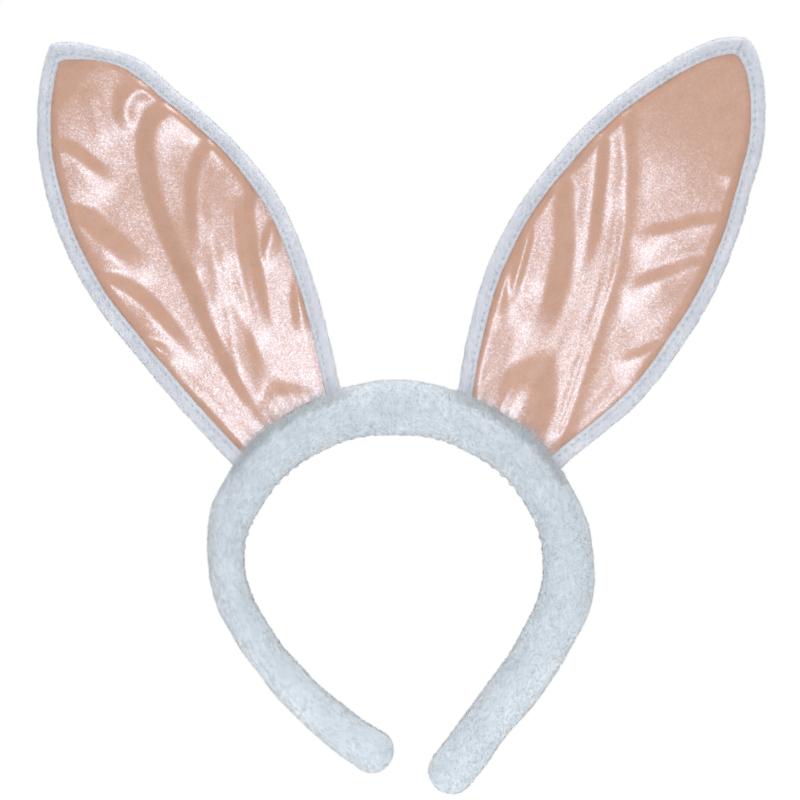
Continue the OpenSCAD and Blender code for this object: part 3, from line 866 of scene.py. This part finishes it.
def ear_topstitches(ear, material):
    """The row of stitches that holds the binding to the satin."""
    ways = outline_ways(ear, STITCH_INSET, STITCH_PITCH / 4, FLOOR_R)
    line = np.stack(ear.edge_point(ways, STITCH_INSET), axis=1)
    along = lengths(line)
    stops = np.arange(STITCH_PITCH * 1.5, along[-1] - STITCH_PITCH, STITCH_PITCH)
    marks = [at_lengths(line, along, stops + shift) for shift in (-STITCH_LEN / 2, STITCH_LEN / 2)]
    starts, ends = (ear.place(m[:, 0], STITCHES_Y, m[:, 1]) for m in marks)
    outward = np.tile([0, -1.0, 0], (len(starts), 1))
    stitches = thread_row(f"{ear.side}_ear_topstitches", starts, ends, outward,
                          STITCH_R, STITCH_ARCH, material)
    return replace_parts(stitches, f"{ear.side}_ear_topstitch")


def ear_base_stitches(ear, material):
    """The row of stitches that holds the ear's foot, on its back."""
    u = np.arange(-EAR_BASE_W + 4, EAR_BASE_W - 3, BASE_PITCH)
    starts, ends = (ear.place(u + s, BACK_Y + BACK_T + 1.3, ear.floor_v(u + s, HINGE_R + BASE_RISE))
                    for s in (-BASE_STITCH / 2, BASE_STITCH / 2))
    outward = np.tile([0, 1.0, 0], (len(starts), 1))
    stitches = thread_row(f"{ear.side}_ear_foot_stitches", starts, ends, outward,
                          STITCH_R, BASE_ARCH, material)
    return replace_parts(stitches, f"{ear.side}_ear_base_stitches")


def ear_back(ear, materials):
    """The plush back panel, slightly domed, with its pile."""
    u, v, across = leaf_grid(ear, PANEL_INSET, BACK_ROWS, BACK_COLUMNS)
    inside = seam_distance(ear, u, v, across) - BORDER_W
    points = ear.place(u, BACK_Y + BACK_DOME * smooth(inside / BACK_DOME_REACH), v)
    wave = 0.35 * lumps(points, 14, 5) + 0.12 * lumps(points, 2.4, 6)
    points[..., 1] += wave * smooth(inside / BACK_WAVE_REACH)
    points, faces = cloth_shell(points, BACK_T)
    name = f"{ear.side}_ear_back"
    back = mesh_piece(f"{name}_panel", points, faces, materials["plush"], "plush")
    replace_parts(back, name)
    count = (BACK_ROWS - 1) * (BACK_COLUMNS - 1)
    chosen = (np.arange(len(faces)) >= count) & (np.arange(len(faces)) < 2 * count)
    fur = pile(f"{name}_pile", back, chosen, EAR_PILE, materials["pile"])
    declare_leaf(ear, PANEL_INSET)
    return [back, fur]


def declare_leaf(ear, inset):
    """Works out the rectangle round a leaf-shaped cut of cloth and its own area, and does nothing with
    them.
    """
    v = np.linspace(0, ear.top(inset), 400)
    width = ear.half_width(v, "minus", inset) + ear.half_width(v, "plus", inset)
    area = float(width.mean()) * ear.top(inset) * MM * MM
    flat = (float(width.max()) * MM, ear.top(inset) * MM)


def ear_pieces(ear, swells, folds, materials):
    """All of one ear's cloth; the ends of the stretch round its hinge are worked out but not used."""
    name = f"{ear.side}_ear"
    ear_wire(ear, materials["wire"])
    points, faces = satin_front(ear, swells, folds)
    satin = mesh_piece(f"{name}_satin_front", points, faces, materials["satin"], "satin")
    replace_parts(satin, f"{name}_satin")
    declare_leaf(ear, BORDER_W - SATIN_TUCK)
    u, v, _ = leaf_grid(ear, PANEL_INSET, LINING_ROWS, LINING_COLUMNS)
    grid = ear.place(u, INTERLINING_Y, v)
    lining = mesh_piece(f"{name}_interlining_sheet", *cloth_shell(grid, INTERLINING_T),
                        materials["interlining"], "interlining")
    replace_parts(lining, f"{name}_interlining")
    declare_leaf(ear, PANEL_INSET)
    pieces = [satin, lining, ear_topstitches(ear, materials["thread"]),
              ear_base_stitches(ear, materials["thread"])]
    pieces += ear_binding(ear, materials) + ear_back(ear, materials)
    hinge_v = float(ear.floor_v(np.array(0.0), HINGE_R))
    start, end = (ear.place(0.0, 0.0, hinge_v + shift) * MM for shift in (BEND_BELOW, BEND_ABOVE))
    for piece in pieces:
        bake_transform(piece)


# ---- Materials --------------------------------------------------------------------------------


def new_material(name):
    """A material, its nodes and links, its shader and its object coordinates."""
    material = bpy.data.materials.new(name)
    material.use_nodes = True
    nodes, links = material.node_tree.nodes, material.node_tree.links
    shader = nodes["Principled BSDF"]
    place = nodes.new("ShaderNodeTexCoord").outputs["Object"]
    return material, nodes, links, shader, place


def noise_texture(nodes, links, place, size_mm, detail=2.0, stretch=None):
    """A noise texture with features about size_mm across, as a 0 to 1 socket."""
    texture = nodes.new("ShaderNodeTexNoise")
    texture.inputs["Scale"].default_value = 1 / (size_mm * MM)
    texture.inputs["Detail"].default_value = detail
    if stretch is not None:
        mapping = nodes.new("ShaderNodeMapping")
        mapping.inputs["Scale"].default_value = stretch
        links.new(place, mapping.inputs["Vector"])
        place = mapping.outputs["Vector"]
    links.new(place, texture.inputs["Vector"])
    return texture.outputs["Fac"]


def ramp(nodes, links, value, stops):
    """A colour ramp over a value, between two stops given as (position, colour)."""
    node = nodes.new("ShaderNodeValToRGB")
    for element, (position, colour) in zip(node.color_ramp.elements, stops):
        element.position = position
        element.color = (*colour, 1)
    links.new(value, node.inputs["Fac"])
    return node.outputs["Color"]


def set_inputs(shader, values):
    for name, value in values.items():
        shader.inputs[name].default_value = value


def bump(nodes, links, shader, height, distance_mm, strength=1.0):
    """Adds a bump of that height to the shader."""
    node = nodes.new("ShaderNodeBump")
    node.inputs["Strength"].default_value = strength
    node.inputs["Distance"].default_value = distance_mm * MM
    links.new(height, node.inputs["Height"])
    links.new(node.outputs["Normal"], shader.inputs["Normal"])


def plush_material(name, dark, light):
    """White plush with a cool, mottled shade."""
    material, nodes, links, shader, place = new_material(name)
    mottle = noise_texture(nodes, links, place, 14.0, 4.0)
    colour = ramp(nodes, links, mottle, [(0.3, dark), (0.7, light)])
    links.new(colour, shader.inputs["Base Color"])
    set_inputs(shader, {"Roughness": 0.95, "Specular IOR Level": 0.15,
                        "Sheen Weight": 1.0, "Sheen Roughness": 0.5})
    bump(nodes, links, shader, noise_texture(nodes, links, place, 0.5, 3.0), 0.3, 0.6)
    return material


def vector_math(nodes, links, operation, value, constant=None):
    """A sum on a vector socket; constant may be a second socket."""
    node = nodes.new("ShaderNodeVectorMath")
    node.operation = operation
    links.new(value, node.inputs[0])
    if isinstance(constant, tuple):
        node.inputs[1].default_value = constant
    elif constant is not None:
        links.new(constant, node.inputs[1])
    return node.outputs["Vector"]


FACET_TILT, FACET_MM = 0.09, 0.55   # how far the satin's threads tip their glints, and their size


def satin_material():
    """Peach satin: matt on its slopes, and glittering pinkish white where it faces the light."""
    material, nodes, links, shader, place = new_material("satin")
    shade = noise_texture(nodes, links, place, 6.0, 3.0)
    colour = ramp(nodes, links, shade, [(0.3, (0.595, 0.293, 0.15)), (0.7, (0.65, 0.33, 0.18))])
    links.new(colour, shader.inputs["Base Color"])
    set_inputs(shader, {"Roughness": 0.32, "IOR": 2.0, "Specular Tint": (0.69, 0.81, 1.0, 1),
                        "Coat Weight": 0.2, "Coat Roughness": 0.15})
    cells = nodes.new("ShaderNodeTexVoronoi")
    cells.inputs["Scale"].default_value = 1 / (FACET_MM * MM)
    links.new(place, cells.inputs["Vector"])
    glint = ramp(nodes, links, cells.outputs["Color"], [(0.3, (0.56, 0.56, 0.56)), (0.7, (1, 1, 1))])
    links.new(glint, shader.inputs["Specular IOR Level"])
    facet = vector_math(nodes, links, "SUBTRACT", cells.outputs["Color"], (0.5, 0.5, 0.5))
    facet = vector_math(nodes, links, "MULTIPLY", facet, (FACET_TILT,) * 3)
    facet = vector_math(nodes, links, "ADD", facet, nodes.new("ShaderNodeNewGeometry").outputs["Normal"])
    links.new(vector_math(nodes, links, "NORMALIZE", facet), shader.inputs["Normal"])
    return material


def grained_material(name, grain_mm, detail, dark, light, roughness, bump_mm,
                     spread=(0.3, 0.7), metallic=0.0, stretch=None):
    """A material whose colour and surface both follow one noise."""
    material, nodes, links, shader, place = new_material(name)
    grain = noise_texture(nodes, links, place, grain_mm, detail, stretch)
    links.new(ramp(nodes, links, grain, zip(spread, (dark, light))), shader.inputs["Base Color"])
    set_inputs(shader, {"Roughness": roughness, "Metallic": metallic})
    bump(nodes, links, shader, grain, bump_mm)
    return material


def set_node_material(names, material):
    """Gives CAD nodes that stay in view a better material."""
    for name in names:
        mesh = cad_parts[name].data
        mesh.materials.clear()
        mesh.materials.append(material)


# ---- Camera, floor and light ------------------------------------------------------------------

CAMERA_PLACE = (0.0021, -1.111, 0.0146)
LENS_MM, SENSOR_MM = 120, 36
FLOOR_HALF_X, FLOOR_HALF_Y, FLOOR_DROP = 0.3, 0.16, 0.014
LIGHT_COLOUR = (0.95, 0.98, 1.0)


def make_camera():
    """A camera straight in front of the satin side."""
    camera = bpy.data.objects.new("camera", bpy.data.cameras.new("camera"))
    camera.location = CAMERA_PLACE
    camera.rotation_euler = (math.pi / 2, 0, 0)
    camera.data.lens, camera.data.sensor_width = LENS_MM, SENSOR_MM
    bpy.context.scene.collection.objects.link(camera)
    bpy.context.scene.camera = camera


def area_light(name, place, target, size, watts, colour=(1, 1, 1)):
    """A soft square light that faces a target point."""
    light = bpy.data.objects.new(name, bpy.data.lights.new(name, "AREA"))
    light.data.energy, light.data.size, light.data.color = watts, size, colour
    light.location = place
    light.rotation_euler = (Vector(target) - Vector(place)).to_track_quat("-Z", "Y").to_euler()
    bpy.context.scene.collection.objects.link(light)


def make_studio():
    """White surroundings, a pale floor below the band's tips, and lights in front, above and behind."""
    scene = bpy.context.scene
    scene.view_settings.view_transform = "Standard"
    world = bpy.data.worlds.new("studio")
    scene.world = world
    world.use_nodes = True
    nodes, links = world.node_tree.nodes, world.node_tree.links
    background = nodes["Background"]
    seen = nodes.new("ShaderNodeMixRGB")
    seen.inputs[1].default_value = (0.70, 0.71, 0.73, 1)
    seen.inputs[2].default_value = (1, 1, 1, 1)
    links.new(nodes.new("ShaderNodeLightPath").outputs["Is Camera Ray"], seen.inputs[0])
    links.new(seen.outputs[0], background.inputs["Color"])
    corners = [(x * FLOOR_HALF_X, y * FLOOR_HALF_Y, cad_box[0].z - FLOOR_DROP)
               for x, y in ((-1, -1), (1, -1), (1, 1), (-1, 1))]
    floor = bpy.data.objects.new("floor", bpy.data.meshes.new("floor"))
    floor.data.from_pydata(corners, [], [(0, 1, 2, 3)])
    bpy.context.scene.collection.objects.link(floor)
    material, _, _, shader, _ = new_material("floor")
    set_inputs(shader, {"Base Color": (0.9, 0.9, 0.9, 1), "Emission Color": (1, 1, 1, 1),
                        "Emission Strength": 0.3})
    floor.data.materials.append(material)
    middle = (cad_box[0] + cad_box[1]) / 2
    area_light("key", (-0.03, -1.25, -0.03), middle, 0.36, 3.0, LIGHT_COLOUR)
    area_light("lamp", (-0.03, -1.24, -0.03), middle, 0.10, 0.5, LIGHT_COLOUR)
    area_light("top", (0.1, 0.0, 1.2), middle, 0.8, 8.0)
    area_light("back", (0.2, 1.3, 0.5), middle, 0.8, 5.0)


# ---- Assembly ---------------------------------------------------------------------------------

make_camera()
make_studio()
materials = {
    "plush": plush_material("plush", (0.63, 0.70, 0.75), (0.74, 0.80, 0.845)),
    "binding": plush_material("binding_plush", (0.69, 0.71, 0.775), (0.78, 0.795, 0.85)),
    "binding_pile": plush_material("binding_pile", (0.73, 0.755, 0.82), (0.82, 0.835, 0.89)),
    "pile": plush_material("pile", (0.68, 0.75, 0.80), (0.78, 0.84, 0.88)),
    "satin": satin_material(),
    # cotton, drawn steel and two loose pressed fibres
    "thread": grained_material("thread", 0.3, 2.0, (0.5, 0.56, 0.62), (0.62, 0.68, 0.74), 0.7, 0.08,
                               spread=(0.35, 0.65)),
    "wire": grained_material("edge_wire_steel", 0.5, 2.0, (0.5, 0.5, 0.5), (0.66, 0.66, 0.65),
                             0.35, 0.02, metallic=1.0),
    "wadding": grained_material("wadding", 2.0, 6.0, (0.78, 0.75, 0.62), (0.88, 0.85, 0.74), 0.95, 0.4),
    "interlining": grained_material("interlining", 2.0, 6.0, (0.75, 0.75, 0.74), (0.86, 0.86, 0.85),
                                    0.95, 0.4),
}
# grey moulded plastic with faint drawn lines along it
core_plastic = grained_material("core_plastic", 1.5, 2.0, (0.46, 0.47, 0.48), (0.54, 0.55, 0.56),
                                0.45, 0.05, stretch=(0.2, 3.0, 0.2))
set_node_material([f"band_core_{part}" for part in ("crown", "left", "right")], core_plastic)
for side in SIGN:
    band_half(side, materials)
ear_pieces(EARS[0], LEFT_SWELLS, LEFT_FOLDS, materials)
ear_pieces(EARS[1], RIGHT_SWELLS, RIGHT_FOLDS, materials)
